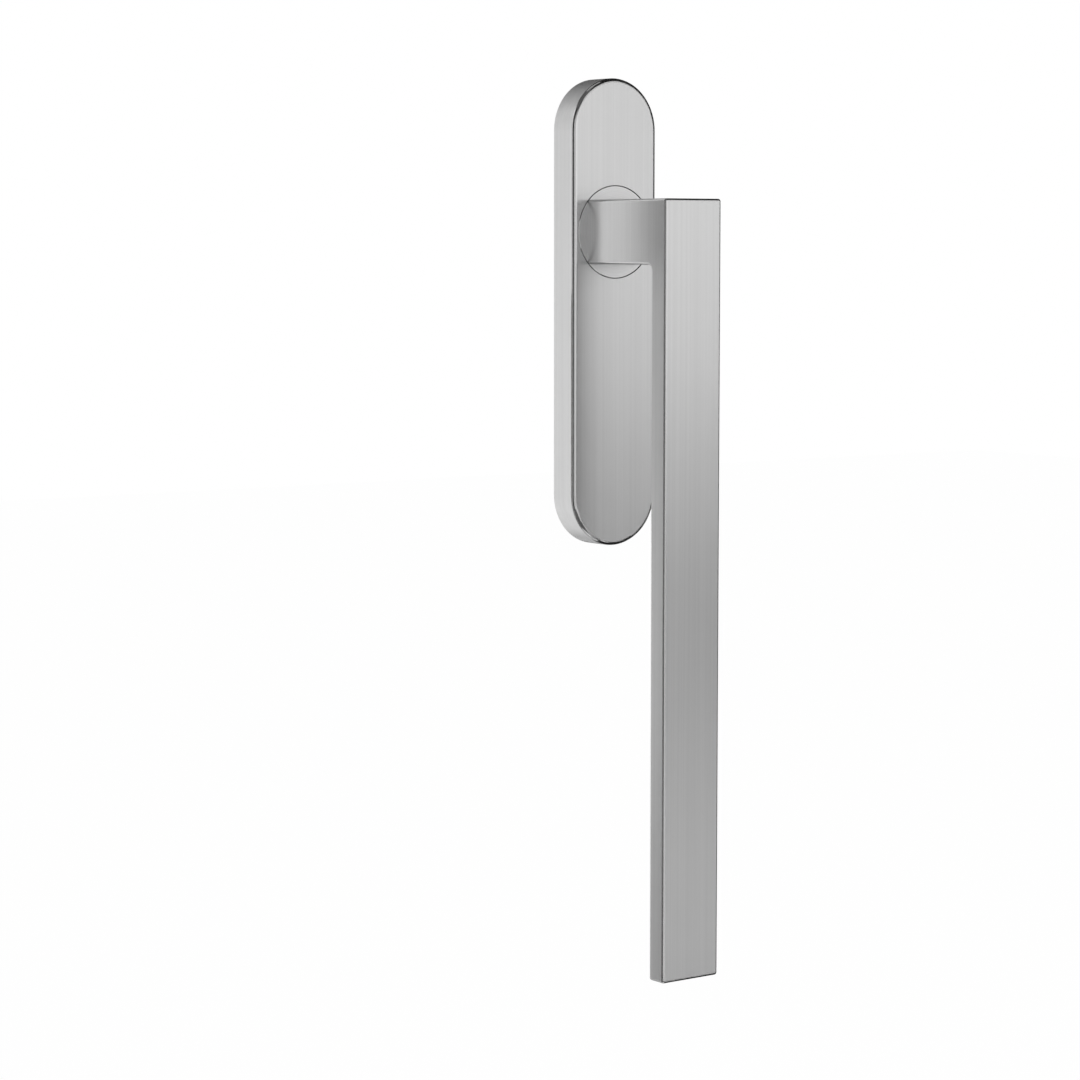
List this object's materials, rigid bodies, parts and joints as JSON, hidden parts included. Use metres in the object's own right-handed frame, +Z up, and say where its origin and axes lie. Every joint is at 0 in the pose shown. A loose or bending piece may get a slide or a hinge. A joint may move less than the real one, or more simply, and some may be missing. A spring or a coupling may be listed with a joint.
{
  "type": "lift and slide door handle",
  "caption": "Long flat bar on a short neck, turning in a round-ended backplate with a square spindle, for a lift and slide door.",
  "frame": {"origin": "where the spindle's axis meets the door's face", "axes": "+Y into the door along the spindle, +Z up, the bar on the -Y side hanging down, +X to the right of someone who faces the door"},
  "size_m": [0.05, 0.1057, 0.4292],
  "materials": {
    "satin_stainless": "stainless steel, brushed satin along the bar",
    "zinc_casting": "zinc die casting, as cast",
    "bearing_plastic": "acetal, natural white",
    "hardened_steel": "hardened steel, black oxide",
    "zinc_plated_steel": "steel, zinc plated",
    "screw_stainless": "stainless steel, machined"
  },
  "bodies": {
    "mounting": {"cover_plate": "satin_stainless", "base_plate": "zinc_casting", "bearing_bush": "bearing_plastic", "slide_washer": "bearing_plastic", "stop_pin": "hardened_steel", "support_sleeve_upper": "zinc_plated_steel", "support_sleeve_lower": "zinc_plated_steel", "fixing_screw_upper": "zinc_plated_steel", "fixing_screw_lower": "zinc_plated_steel", "cover_screw_upper": "screw_stainless", "cover_screw_lower": "screw_stainless"},
    "handle": {"lever": "satin_stainless", "hub": "satin_stainless", "hub_screw_1": "hardened_steel", "hub_screw_2": "hardened_steel", "hub_screw_3": "hardened_steel", "hub_screw_4": "hardened_steel", "spindle": "zinc_plated_steel", "spindle_screw": "screw_stainless", "disc_spring": "hardened_steel", "thrust_washer": "zinc_plated_steel", "retaining_ring": "hardened_steel"}
  },
  "joints": [
    {"name": "handle_turn", "type": "hinge", "parent": "mounting", "child": "handle", "pos_m": [0, 0, 0], "axis": [0, -1, 0], "range_deg": [0, 180]}
  ]
}
